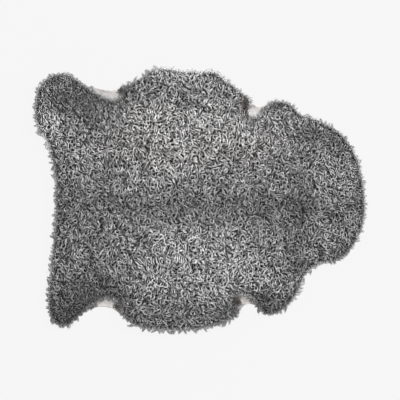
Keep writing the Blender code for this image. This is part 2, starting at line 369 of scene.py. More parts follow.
def ramp(value, start, length):
    """Rise smoothly from 0 to 1 over a stretch that starts at one value and is so long."""
    return ease((value - start) / length)


def unit(vectors):
    """Vectors brought to length one."""
    return vectors / np.maximum(np.linalg.norm(vectors, axis=-1, keepdims=True), 1e-12)


# ---------------------------------------------------------------- mesh building


def put(name, data):
    """A new object in the scene."""
    thing = bpy.data.objects.new(name, data)
    bpy.context.scene.collection.objects.link(thing)
    return thing


def fill(items, field, values, kind=np.float32):
    """Set one field of every item from an array."""
    items.foreach_set(field, np.ascontiguousarray(values, kind).ravel())


def new_piece(name, points, faces, material):
    """A smooth-shaded object from its points and lots of faces, each with a row of corner numbers a face."""
    corners = np.concatenate([lot.ravel() for lot in faces])
    sizes = np.concatenate([np.full(len(lot), lot.shape[1]) for lot in faces])
    mesh = bpy.data.meshes.new(name)
    mesh.vertices.add(len(points))
    fill(mesh.vertices, "co", points)
    mesh.loops.add(len(corners))
    fill(mesh.loops, "vertex_index", corners, np.int32)
    mesh.polygons.add(len(sizes))
    fill(mesh.polygons, "loop_start", np.cumsum(sizes) - sizes, np.int32)
    mesh.update(calc_edges=True)
    mesh.shade_smooth()
    mesh.materials.append(material)
    return put(name, mesh)


def paint(piece, name, colours):
    """Store a colour for each point of a piece."""
    layer = piece.data.attributes.new(name, "FLOAT_COLOR", "POINT")
    fill(layer.data, "color", np.column_stack([colours, np.ones(len(colours))]))


def cover(loop, rings, inner):
    """Places and triangles that fill a closed line, through inner rings and scattered places."""
    spots = np.vstack([loop, *rings, inner])
    flat = [Vector(spot) for spot in spots]
    result = delaunay_2d_cdt(flat, [], [list(range(len(loop)))], 1, 1e-7)
    source = np.array([origins[0] for origins in result[3]])
    return spots, source[np.array(result[2])]


def closed_sheet(name, loop_size, spots, under, over, triangles, material):
    """A sheet closed between its lower and upper heights, over places that share the same triangles."""
    count = len(under)
    edge = np.arange(loop_size)
    after = np.roll(edge, -1)
    wall = np.column_stack([edge, after, after + count, edge + count])
    points = np.vstack([np.column_stack([spots, under]), np.column_stack([spots, over])])
    return new_piece(name, points, (triangles[:, ::-1], triangles + count, wall), material)


# deep holds the painted shade of each point, tint the colour of each lock.
Strands = namedtuple("Strands", "paths facing half_width half_height deep tint seed", defaults=(1.0, 0.0))


def tube_faces(count, stations):
    """Corner numbers of the walls and of both end caps of many tubes."""
    ring = np.arange(SIDES)
    station = np.arange(stations - 1)[:, None] * SIDES
    here, after = station + ring, station + np.roll(ring, -1)
    wall = np.stack([here, after, after + SIDES, here + SIDES], axis=-1)
    caps = np.stack([ring[::-1], ring + (stations - 1) * SIDES])
    offset = np.arange(count)[:, None, None] * stations * SIDES
    return (wall.reshape(-1, 4)[None] + offset).reshape(-1, 4), (caps[None] + offset).reshape(-1, SIDES)


# Where a tube's wall and its two end caps lie in its cell of the atlas, as shares of the cell.
WALL_FROM = 0.06
WALL_SHARE = (0.88, 0.82)
CAP_RADIUS = 0.02
CAP_PLACES = ((0.25, 0.96), (0.75, 0.96))


def atlas(count, stations):
    """Texture places along a tube's wall, and those of many whole tubes, each in a cell of its own."""
    across = math.ceil(math.sqrt(count))
    cell = np.stack([np.arange(count) % across, np.arange(count) // across], axis=1) / across
    k, s = np.meshgrid(np.arange(SIDES), np.arange(stations - 1))
    steps = np.array([[0, 0], [1, 0], [1, 1], [0, 1]])
    u = (k[..., None] + steps[:, 0]) / SIDES
    v = (s[..., None] + steps[:, 1]) / (stations - 1)
    wall = np.stack([u, v], axis=-1).reshape(-1, 2)
    disc = np.column_stack([np.cos(CORNER_TURNS), np.sin(CORNER_TURNS)]) * CAP_RADIUS
    caps = np.concatenate([disc + place for place in CAP_PLACES])
    inner = np.vstack([WALL_FROM + wall * WALL_SHARE, caps])
    return wall, cell[:, None] + inner[None] / across


def strand_piece(name, strands, material):
    """Many separate locks in one piece, each with its colour and the way of its fibres stored."""
    paths = strands.paths
    count, stations = paths.shape[:2]
    tangent = unit(np.gradient(paths, axis=1))
    aside = unit(np.cross(strands.facing[:, None], tangent))
    over = np.cross(tangent, aside)
    turn = math.pi / 2 + CORNER_TURNS
    reach_aside = (np.cos(turn) * strands.half_width[..., None])[..., None] * aside[:, :, None]
    reach_over = (np.sin(turn) * strands.half_height[..., None])[..., None] * over[:, :, None]
    points = (paths[:, :, None] + reach_aside + reach_over).reshape(-1, 3)
    piece = new_piece(name, points, tube_faces(count, stations), material)
    every = (count, stations, SIDES)
    along = np.broadcast_to(np.linspace(0.0, 1.0, stations)[:, None], every)
    # deep carries the painted shade of each point's depth; crest carries painted light on each lock's top
    # corner and painted shade on its two lower corners.
    deep = np.broadcast_to(strands.deep[..., None], every)
    crest = np.broadcast_to(0.5 + 0.5 * np.sin(turn), every)
    paint(piece, "tint", np.repeat(strands.tint, stations * SIDES, axis=0))
    paint(piece, "place", np.stack([along, deep, crest], axis=-1).reshape(-1, 3))
    lay_out(piece, strands)
    return piece


def lay_out(piece, strands):
    """Give the tubes two texture layers: one along their fibres and one with a cell for each tube."""
    count, stations = strands.paths.shape[:2]
    wall, cells = atlas(count, stations)
    wall_count = len(wall)
    fibres = np.empty((count, len(cells[0]), 2))
    fibres[:, :wall_count] = wall
    fibres[:, wall_count:] = 0.5
    fibres += strands.seed[:, None, None]
    for name, values in (("Fibres", fibres), ("OFBake", cells)):
        layer = piece.data.uv_layers.new(name=name)
        walls, caps = values[:, :wall_count], values[:, wall_count:]
        fill(layer.data, "uv", np.concatenate([walls.reshape(-1, 2), caps.reshape(-1, 2)]))


# ---------------------------------------------------------------- the lie of the wool

Relief = namedtuple("Relief", "corner heights")


def eased_grid(grid, passes):
    """A grid of values, eased towards its neighbours."""
    for _ in range(passes):
        for axis in (0, 1):
            grid = grid * 0.5 + (np.roll(grid, 1, axis) + np.roll(grid, -1, axis)) * 0.25
    return grid


def relief_of(triangles):
    """Height of the top of a solid on an even grid, rounded over at its edge and 0 past it."""
    tree = tree_of(triangles)
    low = triangles[:, :, :2].min(axis=(0, 1)) - RELIEF_MARGIN
    high = triangles[:, :, :2].max(axis=(0, 1)) + RELIEF_MARGIN
    x, y = (np.arange(start, end, RELIEF_STEP) for start, end in zip(low, high))
    spots = np.stack(np.meshgrid(x, y, indexing="ij"), axis=-1)
    found = heights(tree, spots.reshape(-1, 2)).reshape(spots.shape[:2])
    covered = eased_grid(np.where(np.isnan(found), 0.0, 1.0), 3)
    eased = eased_grid(np.nan_to_num(found), 3) / np.maximum(covered, 0.3)
    return Relief(low, eased)


def height_at(relief, spots):
    """Height of a relief at any places on the floor."""
    place = (spots - relief.corner) / RELIEF_STEP
    last = np.array(relief.heights.shape) - 2
    cell = np.clip(place.astype(int), 0, last)
    u, v = np.clip(place - cell, 0.0, 1.0).T
    i, j = cell.T
    grid = relief.heights
    near = grid[i, j] * (1.0 - u) + grid[i + 1, j] * u
    far = grid[i, j + 1] * (1.0 - u) + grid[i + 1, j + 1] * u
    return near * (1.0 - v) + far * v


def normal_at(relief, spots):
    """Which way the wool's surface faces at any places."""
    reach = SLOPE_REACH
    rise_x = height_at(relief, spots + (reach, 0.0)) - height_at(relief, spots - (reach, 0.0))
    rise_y = height_at(relief, spots + (0.0, reach)) - height_at(relief, spots - (0.0, reach))
    slope = np.column_stack([rise_x, rise_y]) / (2.0 * reach)
    steep = np.linalg.norm(slope, axis=1, keepdims=True)
    slope *= np.minimum(1.0, STEEPEST / np.maximum(steep, 1e-9))
    return unit(np.column_stack([-slope, np.ones(len(slope))]))


def ripple(spots, size, seed):
    """A smooth uneven value of about -1 to 1 over the floor, from waves of about the given size."""
    rng = np.random.default_rng(seed)
    way = rng.uniform(0.0, FULL_TURN, WAVES)
    pitch = rng.uniform(*WAVE_SPREAD, WAVES) * FULL_TURN / size
    phase = rng.uniform(0.0, FULL_TURN, WAVES)
    travel = spots[:, :1] * np.cos(way) * pitch + spots[:, 1:2] * np.sin(way) * pitch
    return np.sin(travel + phase).sum(axis=1) / math.sqrt(WAVES)


# ---------------------------------------------------------------- the wool's own colours

# Soft patches of darker and paler wool. Places and reaches in mm, turn in degrees, warmth towards brown.
Patch = namedtuple("Patch", "where x y reach_x reach_y tone turn warmth", defaults=(0.0, 0.0))
PATCHES = (
    Patch("left hind leg", -332, 270, 95, 58, 0.66, turn=-32),
    # A truly paler lock, its tone raised further as painted light against the shade it lies in, turned away
    # from the key softbox.
    Patch("left hind leg, pale lock", -402, 184, 38, 46, 1.56, warmth=0.03),
    Patch("left hind leg by the rump", -345, 220, 36, 24, 1.10),
    Patch("left hind leg, rim lock", -428, 300, 10, 12, 1.35),
    Patch("right hind leg", -326, -279, 105, 68, 0.59, turn=40),
    Patch("right hind leg, tip", -350, -314, 44, 26, 0.76),
    Patch("spine", 46, -15, 430, 30, 0.86),
    Patch("spine over the shoulders", 267, -20, 52, 32, 0.88),
    Patch("spine over the ribs", 160, -36, 46, 30, 0.80),
    Patch("left side", -20, 150, 270, 72, 1.20, warmth=0.02),
    Patch("left side by the loin", -138, 222, 60, 36, 1.34, warmth=0.03),
    Patch("left side over the ribs", -52, 180, 44, 44, 1.14),
    Patch("left side behind the shoulder", 16, 228, 46, 30, 1.37, warmth=0.02),
    Patch("left side below the shoulder", 91, 116, 30, 26, 0.87),
    Patch("left loin", -200, 55, 40, 44, 1.08),
    Patch("left loin by the leg", -266, 120, 34, 34, 1.10),
    Patch("left side of the rump", -336, 98, 56, 76, 1.12),
    Patch("left side by the shoulder", 102, 180, 54, 36, 1.08),
    Patch("left side by the spine", -122, 72, 52, 40, 1.17),
    Patch("left of the spine, over the ribs", -50, 66, 38, 30, 1.10),
    Patch("left armpit, inward of it", 163, 226, 34, 22, 1.16),
    Patch("left shoulder", 182, 207, 38, 28, 1.12),
    Patch("right side", 0, -145, 190, 70, 1.18),
    Patch("right side by the loin", -60, -96, 50, 30, 1.18),
    Patch("right side over the ribs", -30, -168, 54, 66, 1.09),
    Patch("right groin by the flank", -190, -308, 24, 20, 0.90),
    Patch("right side by the neck", 236, -95, 30, 28, 0.91),
    Patch("right side over the shoulder", 160, -96, 32, 30, 0.93),
    Patch("right loin by the leg", -268, -182, 34, 44, 0.89),
    Patch("right side by the shoulder", 94, -190, 58, 40, 1.20),
    Patch("right side by the flank", 14, -206, 34, 26, 1.10),
    Patch("left flank rim", -39, 345, 95, 26, 1.36, warmth=0.02),
    Patch("left flank", -84, 282, 90, 28, 1.07),
    Patch("right flank", -26, -306, 180, 46, 0.90),
    Patch("right flank by the loin", -112, -232, 70, 44, 1.12),
    Patch("right flank by the foreleg", 34, -258, 54, 44, 1.17),
    Patch("right flank rim by the foreleg", 72, -298, 60, 34, 0.84),
    Patch("right shoulder", 156, -218, 44, 38, 1.22),
    Patch("behind the neck", 266, -14, 36, 235, 0.79),
    Patch("behind the neck, left", 303, 176, 30, 30, 0.67),
    Patch("behind the neck, right", 262, -174, 27, 27, 0.82),
    Patch("right foreleg by the neck", 236, -204, 24, 24, 0.90),
    Patch("neck", 355, 60, 60, 60, 1.02),
    Patch("neck by the spine, left", 307, 65, 28, 28, 1.12),
    Patch("behind the neck by the spine", 238, 66, 30, 26, 1.12),
    Patch("neck by the spine, right", 358, -42, 50, 26, 0.86),
    Patch("neck, left", 372, 160, 60, 50, 0.65, turn=-40),
    Patch("neck, right", 388, -150, 44, 52, 0.69, turn=40),
    Patch("neck rim", 436, 0, 30, 190, 0.80),
    Patch("left foreleg", 227, 257, 52, 36, 0.82),
    Patch("right foreleg", 192, -289, 62, 42, 0.64),
    Patch("right armpit", 139, -246, 52, 26, 1.04),
    Patch("rump", -319, 12, 82, 145, 0.94),
    Patch("tuft in the left armpit", 121, 260, 14, 19, 0.22, warmth=0.16),
    Patch("tuft in the right armpit", 101, -276, 14, 15, 0.20, warmth=0.16),
    Patch("nap in the right armpit", 138, -274, 8, 10, 0.80, warmth=0.05),
    Patch("tuft in the left groin", -211, 294, 11, 12, 0.40, warmth=0.05),
    Patch("tuft in the right groin", -222, -289, 13, 12, 0.40, warmth=0.05),
)

# Tufts that hang over the ends of the bare margins. Places and reaches in mm, the turn of their patch and
# the way that they are combed in degrees.
Overhang = namedtuple("Overhang", "where x y reach_x reach_y turn way locks")
OVERHANGS = (
    Overhang("left armpit", 124, 261, 12, 14, 0, -70, 80),
    Overhang("right armpit", 101, -275, 13, 13, 30, -40, 100),
    Overhang("right armpit by the foreleg", 141, -276, 5, 7, 0, -100, 14),
    Overhang("right groin", -222, -289, 14, 9, -30, -50, 60),
    Overhang("right groin by the leg", -290, -286, 18, 8, 35, 40, 70),
    Overhang("left groin", -211, 295, 11, 9, 20, 190, 50),
)


def wool_tint(spots):
    """Colour of the wool at each place, before each lock's own difference."""
    tone = np.full(len(spots), WOOL_TONE)
    warmth = np.zeros(len(spots))
    for patch in PATCHES:
        away = spots - np.array([patch.x, patch.y]) * MM
        turn = math.radians(patch.turn)
        along = (away[:, 0] * math.cos(turn) + away[:, 1] * math.sin(turn)) / (patch.reach_x * MM)
        across = (away[:, 1] * math.cos(turn) - away[:, 0] * math.sin(turn)) / (patch.reach_y * MM)
        share = np.exp(-((along**2 + across**2) ** PATCH_EDGE))
        tone *= 1.0 + (patch.tone**TONE_POWER - 1.0) * share
        warmth += patch.warmth * share
    return tone[:, None] * (1.0 + warmth[:, None] * np.array(WARMING))


# ---------------------------------------------------------------- curls


def walk(heading, step):
    """The level line of each lock, which goes on by even steps with a heading for each."""
    return np.stack([np.cos(heading) * step, np.sin(heading) * step], axis=-1).cumsum(axis=1)


def over_surface(roots, normals, line, rise):
    """Level lines laid over a surface about their roots, and how far they rise from it."""
    first = unit(ALONG_X - normals * normals[:, :1])
    second = np.cross(normals, first)
    flat = roots[:, None] + line[..., :1] * first[:, None] + line[..., 1:] * second[:, None]
    return flat + rise[..., None] * normals[:, None]


def on_floor(strands, clear):
    """The same strands, lifted where they would pass through the floor."""
    paths = strands.paths
    paths[..., 2] = np.maximum(paths[..., 2], strands.half_width * clear)
    return strands


def comb_way(spots):
    """Which way the wool is combed at each place."""
    broad, fine = COMB_WAVES
    return COMB_WAY + COMB_SPREAD * (ripple(spots, broad, 3) + 0.5 * ripple(spots, fine, 5))


def deepness(rise, size):
    """How much painted shade each point takes for its depth in the wool, from 0 where it stands clear to 1
    where no light comes.
    """
    return np.clip(SHADE_AT_SURFACE - rise / (SHADE_DEPTH * size), 0.0, 1.0)


Lie = namedtuple("Lie", "heading bend length lift tone")


def either_way(count, rng):
    """Left or right, at random."""
    return rng.choice([-1.0, 1.0], count)


def loose_lie(spots, lift, rng):
    """How unordered locks lie: every way, bent to either side."""
    count = len(spots)
    bend = rng.uniform(*LOOSE_BEND, count) * either_way(count, rng)
    heading = rng.uniform(0.0, FULL_TURN, count)
    return Lie(heading, bend, rng.uniform(*LOCK_LENGTH, count), rng.uniform(*lift, count), np.ones(count))


def tufted_lie(spots, foot, rng):
    """Places of the locks, drawn to the tufts that they are nearest to, and how each lies in its tuft."""
    tufts = scattered(foot, TUFT_SPACING, TUFT_JITTER, 0.0, rng)
    own = nearest(spots, tufts)
    away = spots - tufts[own]
    radius = np.linalg.norm(away, axis=1)
    count = len(spots)
    loose = loose_lie(spots, CURL_LIFT, rng)
    hand = either_way(len(tufts), rng)[own]
    around = np.arctan2(away[:, 1], away[:, 0]) + hand * math.pi / 2
    crossed = COMB_CROSS * rng.integers(0, 2, len(tufts))
    along = (comb_way(tufts) + crossed + rng.normal(0.0, COMB_SCATTER, len(tufts)))[own]
    swirl = hand * np.minimum(loose.length / np.maximum(radius, TIGHTEST), SWIRL_MOST)
    combed = hand * rng.uniform(*COMBED_BEND, count)
    form = rng.choice(3, len(tufts), p=TUFT_SHARES)[own]
    scatter = rng.normal(0.0, TUFT_SCATTER, count)
    heading = np.choose(form, (around + scatter, along + scatter, loose.heading))
    bend = np.choose(form, (swirl, combed, loose.bend))
    dome = TUFT_DOME * (2.0 * radius / TUFT_SPACING) ** 2
    lift = loose.lift + rng.normal(0.0, TUFT_LIFT, len(tufts))[own] - dome
    tone = np.exp(rng.normal(0.0, TUFT_TONE, len(tufts)))[own]
    return spots - TUFT_DRAW * away, Lie(heading, bend, loose.length, lift, tone)


def lock_strands(roots, normals, lie, size, rng):
    """Locks that rise out of the wool, bend as they lie over and tuck their tips in."""
    count = len(roots)
    share = np.linspace(0.0, 1.0, LOCK_POINTS)
    sway = LOCK_SWAY * np.sin(FULL_TURN * (share + rng.random((count, 1))))
    heading = lie.heading[:, None] + lie.bend[:, None] * (share - 0.5) + sway
    line = walk(heading, (lie.length * size / (LOCK_POINTS - 1))[:, None])
    line -= line.mean(axis=1, keepdims=True)
    lean_way = rng.uniform(0.0, FULL_TURN, (count, 1))
    lean = rng.uniform(0.0, LOCK_LEAN, (count, 1))
    leaning = lean * (line[..., 0] * np.cos(lean_way) + line[..., 1] * np.sin(lean_way))
    sunk = LOCK_SINK * size[:, None] * (1.0 - ease(share / LOCK_RISEN)) + LOCK_TUCK * ramp(share, *TUCK_SPAN)
    rise = lie.lift[:, None] * size[:, None] + leaning - sunk
    paths = over_surface(roots, normals, line, rise)
    belly = 1.0 - LOCK_BELLY + LOCK_BELLY * np.sin(math.pi * share)
    swell = belly * (1.0 - LOCK_TAPER * ramp(share, *TAPER_SPAN))
    half_width = rng.uniform(*STRAND_HALF_WIDTH, (count, 1)) * size[:, None] * swell
    # Painted shade for how deep each point lies in the wool.
    deep = deepness(rise, size[:, None])
    half_height = half_width * LOCK_FLATNESS
    return Strands(paths, normals, half_width, half_height, deep, lie.tone[:, None], np.zeros(count))


def keep_in_wool(strands, relief, proud):
    """Hold every path above the floor, and mostly no further than so much above the wool's surface."""
    paths = strands.paths
    top = height_at(relief, paths[..., :2].reshape(-1, 2)).reshape(paths.shape[:2]) + proud
    paths[..., 2] -= np.maximum(paths[..., 2] - top, 0.0) * HELD_BACK
    return on_floor(strands, WOOL_CLEAR)


def coloured(strands, rng):
    """The strands, each with its own colour and its own place in the fibres' pattern."""
    count = len(strands.paths)
    middle = strands.paths[:, strands.paths.shape[1] // 2, :2]
    own = np.exp(rng.normal(0.0, TINT_SPREAD, (count, 1)))
    tint = np.minimum(wool_tint(middle) * own * strands.tint, PALEST)
    return strands._replace(tint=tint, seed=rng.uniform(0.0, PATTERN_REACH, count))


def chosen(strands, which):
    """Some of the strands."""
    return Strands(*(part[which] for part in strands))


def joined(*several):
    """Several lots of strands as one."""
    return Strands(*(np.concatenate(parts) for parts in zip(*several)))


def rim_roots(foot, relief, shares, spacing, rng):
    """Uneven rows of places on the wool's upright rim, with the way that each faces and its wool's height."""
    rows = []
    steepest = math.tan(math.radians(RIM_TIP))
    for share in shares:
        loop = resample(foot, spacing)
        count = len(loop)
        outward = outward_of(rounded(loop, 4))
        aside = np.roll(outward, 1, axis=1) * (1, -1)
        loop = loop + rng.uniform(-RIM_JITTER, RIM_JITTER, (count, 1)) * spacing * aside
        pile = height_at(relief, loop - outward * RIM_PILE_FROM)
        spots = loop + outward * RIM_SWELL * math.sin(math.pi * min(1.0, share + (0.5 - RIM_FULLEST)))
        height = pile * (share + rng.uniform(-RIM_ROW_SPREAD, RIM_ROW_SPREAD, count))
        roots = np.column_stack([spots, np.maximum(height, RIM_LEAST_HEIGHT)])
        facing = unit(np.hstack([outward, np.full((count, 1), steepest * (share - RIM_LEVEL_AT))]))
        keep = pile > RIM_LEAST_PILE
        rows.append((roots[keep], facing[keep], pile[keep]))
    return (np.concatenate(parts) for parts in zip(*rows))


def level_locks(spots, base, lie, size, rng):
    """Locks that lie level, each over its place at the given height."""
    return lock_strands(np.column_stack([spots, base]), np.tile(UP, (len(spots), 1)), lie, size, rng)


def pile_size(pile):
    """Size of the curls for the height of the wool, where 1 is full wool."""
    return LEAST_SIZE + (1.0 - LEAST_SIZE) * ramp(pile, SHORT_WOOL, FULL_WOOL - SHORT_WOOL)


def curls_on_top(spots, lie, size, proud, relief, rng):
    """Curls that are rooted at places on top of the wool."""
    roots = np.column_stack([spots, height_at(relief, spots)])
    return keep_in_wool(lock_strands(roots, normal_at(relief, spots), lie, size, rng), relief, proud)


def cover_curls(foot, relief, rng):
    """Curls over the whole top of the wool."""
    spots, lie = tufted_lie(scattered(foot, CURL_SPACING, CURL_JITTER, CURL_EDGE, rng), foot, rng)
    size = pile_size(height_at(relief, spots))
    return curls_on_top(spots, lie, size, CURL_PROUD, relief, rng)


def nap_curls(foot, relief, rng):
    """Small close curls where the wool is short, by the bare margins."""
    spots = scattered(foot, NAP_SPACING, NAP_JITTER, NAP_EDGE, rng)
    spots = spots[height_at(relief, spots) < NAP_BELOW]
    size = NAP_SIZE * rng.uniform(*NAP_SPREAD, len(spots))
    return curls_on_top(spots, loose_lie(spots, NAP_LIFT, rng), size, NAP_PROUD, relief, rng)


def rim_curls(foot, relief, rng):
    """Curls on the wool's rim, that face outward."""
    roots, normals, pile = rim_roots(foot, relief, RIM_ROWS, RIM_SPACING, rng)
    lie = loose_lie(roots, RIM_LIFT, rng)
    return on_floor(lock_strands(roots, normals, lie, pile_size(pile) * RIM_SIZE, rng), RIM_CLEAR)


def rim_points(foot, relief, rng):
    """Locks that reach out of the rim in pointed tufts and sink to rest on the floor or the locks below."""
    roots, normals, pile = rim_roots(foot, relief, POINT_TIERS, POINT_LOCK_SPACING, rng)
    count = len(roots)
    tufts = resample(foot, POINT_SPACING) + rng.uniform(-RIM_JITTER, RIM_JITTER, (1, 2)) * POINT_SPACING
    own = nearest(roots[:, :2], tufts)
    t = np.linspace(0.0, 1.0, POINT_STATIONS)
    size = pile_size(pile)
    level = unit(normals * (1.0, 1.0, 0.0))
    aside = np.column_stack([-level[:, 1], level[:, 0], np.zeros(count)])
    draw = POINT_DRAW * ((tufts[own] - roots[:, :2]) * aside[:, :2]).sum(axis=1)
    reach = rng.uniform(*POINT_REACH, len(tufts))[own] * rng.uniform(*POINT_SPREAD, count) * size
    hook = rng.normal(0.0, POINT_HOOK, len(tufts))[own] * reach
    out = (POINT_ROOT + reach)[:, None] * t - POINT_ROOT
    over = draw[:, None] * ease(t) + hook[:, None] * t**3
    paths = roots[:, None] + out[..., None] * level[:, None] + over[..., None] * aside[:, None]
    paths[..., 2] -= roots[:, 2:] * rng.uniform(*POINT_SINK, (count, 1)) * t**POINT_DROOP_POWER
    width = rng.uniform(*POINT_HALF_WIDTH, count) * (POINT_LEAST_WIDTH + (1.0 - POINT_LEAST_WIDTH) * size)
    half_width = width[:, None] * (1.0 - POINT_TAPER * t**POINT_TAPER_POWER)
    # Painted shade, heaviest at the root where the point leaves the rim.
    deep = np.broadcast_to(POINT_SHADE[0] - POINT_SHADE[1] * t, (count, POINT_STATIONS))
    facing = np.tile(UP, (count, 1))
    return on_floor(Strands(paths, facing, half_width, half_width * POINT_FLATNESS, deep), RIM_CLEAR)


def edge_nap(foot, relief, rng):
    """Short nap that stands over the bare margins' inner edge."""
    spots = resample(foot, EDGE_NAP_SPACING)
    outward = outward_of(rounded(spots, 10))
    short = height_at(relief, spots - outward * RIM_PILE_FROM) < EDGE_NAP_BELOW
    spots = spots[short] + outward[short] * rng.uniform(*EDGE_NAP_OVER, (short.sum(), 1))
    count = len(spots)
    way = np.arctan2(outward[short, 1], outward[short, 0])
    heading = way + rng.normal(0.0, EDGE_NAP_SCATTER, count)
    loose = loose_lie(spots, NAP_LIFT, rng)
    lie = loose._replace(heading=heading, bend=rng.normal(0.0, EDGE_NAP_BEND, count))
    base = np.maximum(height_at(relief, spots) * EDGE_NAP_ROOT, HIDE_THICKNESS + EDGE_NAP_LEAST)
    strands = level_locks(spots, base, lie, rng.uniform(*EDGE_NAP_SIZE, count), rng)
    return keep_in_wool(strands, relief, EDGE_NAP_PROUD)


def overhang(tuft, relief, rng):
    """A dark tuft that hangs over the end of a bare margin."""
    count = tuft.locks
    turn = math.radians(tuft.turn)
    along = rng.normal(0.0, OVERHANG_CROWDED, (count, 2)) * (tuft.reach_x, tuft.reach_y)
    swing = np.array([[math.cos(turn), math.sin(turn)], [-math.sin(turn), math.cos(turn)]])
    spots = (np.array([tuft.x, tuft.y]) + along @ swing) * MM
    loose = loose_lie(spots, NAP_LIFT, rng)
    heading = math.radians(tuft.way) + rng.normal(0.0, OVERHANG_SCATTER, count)
    bend = rng.uniform(*OVERHANG_BEND, count) * either_way(count, rng)
    base = np.maximum(height_at(relief, spots) * OVERHANG_ROOT, HIDE_THICKNESS)
    base += rng.uniform(*OVERHANG_RISE, count) * MM
    lie = loose._replace(heading=heading, bend=bend)
    return level_locks(spots, base, lie, rng.uniform(*OVERHANG_SIZE, count), rng)


def overhangs(relief, rng):
    """Every dark tuft over the ends of the bare margins."""
    return keep_in_wool(joined(*(overhang(tuft, relief, rng) for tuft in OVERHANGS)), relief, OVERHANG_PROUD)


def stray_fibres(foot, relief, rng):
    """Loose fine fibres over the wool, and more of them about its rim."""
    spots = scattered(foot, STRAY_SPACING, STRAY_JITTER, CURL_EDGE, rng)
    over = np.column_stack([spots, height_at(relief, spots)])
    around, outward, _ = rim_roots(foot, relief, STRAY_ROWS, STRAY_RIM_SPACING, rng)
    roots = np.vstack([over, around])
    normals = unit(np.vstack([normal_at(relief, spots), outward + (0.0, 0.0, STRAY_UPWARD)]))
    count = len(roots)
    t = np.linspace(0.0, 1.0, STRAY_POINTS)
    length = rng.uniform(*STRAY_LENGTH, count)
    turns = (rng.uniform(*STRAY_TURNS, count) * either_way(count, rng))[:, None]
    bend = rng.uniform(0.0, FULL_TURN, (count, 1)) + turns * FULL_TURN * t
    line = walk(bend, (length / STRAY_POINTS)[:, None])
    rise = length[:, None] * (STRAY_LOOP * np.sin(math.pi * t * STRAY_ARCH)) - STRAY_SINK
    paths = over_surface(roots, normals, line, rise)
    half_width = np.tile(STRAY_HALF_WIDTH * (1.0 - STRAY_TAPER * t), (count, 1))
    # Painted shade, heaviest at the root in the wool.
    deep = np.broadcast_to(STRAY_SHADE - STRAY_SHADE * t, (count, STRAY_POINTS))
    return on_floor(Strands(paths, normals, half_width, half_width, deep), RIM_CLEAR)


# ---------------------------------------------------------------- material effects


def feed(tree, node, inputs):
    """Give inputs of a node their fixed values, or join them to the outputs of other nodes."""
    for label, value in inputs.items():
        if isinstance(value, bpy.types.NodeSocket):
            tree.links.new(value, node.inputs[label])
        else:
            node.inputs[label].default_value = value


def add_node(tree, kind, column, row, inputs=None, **settings):
    """A new node in a column and row of its tree, with its settings and what its inputs are fed."""
    node = tree.nodes.new(kind)
    node.location = (column * 240, row * -200)
    for name, value in settings.items():
        setattr(node, name, value)
    feed(tree, node, inputs or {})
    return node


def add_sum(tree, column, row, operation, *terms):
    """One number, worked out from others."""
    inputs = dict(enumerate(terms))
    return add_node(tree, "ShaderNodeMath", column, row, inputs, operation=operation).outputs[0]


def add_range(tree, column, row, inputs, way="LINEAR"):
    """A number brought from one range to another."""
    return add_node(tree, "ShaderNodeMapRange", column, row, inputs, interpolation_type=way).outputs["Result"]


def add_noise(tree, column, row, place, size, detail, **settings):
    """An uneven value of a size over a place."""
    inputs = {"Vector": place, "Scale": size, "Detail": detail}
    return add_node(tree, "ShaderNodeTexNoise", column, row, inputs, **settings).outputs["Fac"]


def new_effect(name, colours, numbers):
    """A node group, still empty, that turns colours and numbers into a colour and a relief."""
    tree = bpy.data.node_groups.new(name, "ShaderNodeTree")
    sockets = [(label, "INPUT", "NodeSocketColor") for label in colours]
    sockets += [(label, "INPUT", "NodeSocketFloat") for label in numbers]
    sockets += [("Color", "OUTPUT", "NodeSocketColor"), ("Relief", "OUTPUT", "NodeSocketFloat")]
    for label, way, kind in sockets:
        tree.interface.new_socket(label, in_out=way, socket_type=kind)
    return tree, add_node(tree, "NodeGroupInput", 0, 0).outputs, add_node(tree, "NodeGroupOutput", 7, 0)


def fibre_group():
    """Colour and relief of a lock: fine streaks along it, painted shade where it lies deep in the wool and on
    its lower sides, painted light on its crest, and a change from root to tip.
    """
    numbers = ("Streaks", "Deep Shade", "Side Shade", "Tip Light")
    tree, given, result = new_effect("wool fibres", ("Tint", "Place"), numbers)
    along = add_node(tree, "ShaderNodeUVMap", 0, 2, uv_map="Fibres").outputs["UV"]
    stretch = add_node(tree, "ShaderNodeMapping", 1, 2, {"Vector": along, "Scale": (5.0, 0.9, 1.0)})
    noise = add_noise(tree, 2, 2, stretch.outputs["Vector"], 2.2, 3.0, noise_dimensions="2D")
    centred = add_sum(tree, 3, 2, "SUBTRACT", noise, 0.5)
    scaled = add_sum(tree, 4, 2, "MULTIPLY", centred, given["Streaks"])
    streak = add_sum(tree, 5, 2, "MULTIPLY_ADD", scaled, 4.0, 1.0)
    place = add_node(tree, "ShaderNodeSeparateColor", 1, 0, {"Color": given["Place"]}).outputs
    # From root to tip: partly painted shade on roots sunk in the wool, partly the wool's own paler tips.
    tip = add_range(tree, 3, -1, {"Value": place["Red"], "To Min": 1.0, "To Max": given["Tip Light"]})
    # Painted shade for how deep the point lies in the wool.
    sunk = {"Value": place["Green"], "To Min": 1.0, "To Max": given["Deep Shade"]}
    deep = add_range(tree, 3, 0, sunk, "SMOOTHSTEP")
    # Painted light on the top corner of each lock, painted shade on its lower sides.
    side = {"Value": place["Blue"], "From Min": 0.35, "From Max": 0.75}
    crest = add_range(tree, 3, 1, {**side, "To Min": given["Side Shade"], "To Max": 1.0})
    shade = add_sum(tree, 4, 0, "MULTIPLY", tip, deep)
    shape = add_sum(tree, 5, 0, "MULTIPLY", shade, crest)
    total = add_sum(tree, 6, 1, "MULTIPLY", shape, streak)
    colour = add_node(tree, "ShaderNodeVectorMath", 6, 0, operation="SCALE")
    feed(tree, colour, {0: given["Tint"], "Scale": total})
    feed(tree, result, {"Color": colour.outputs["Vector"], "Relief": noise})
    return tree


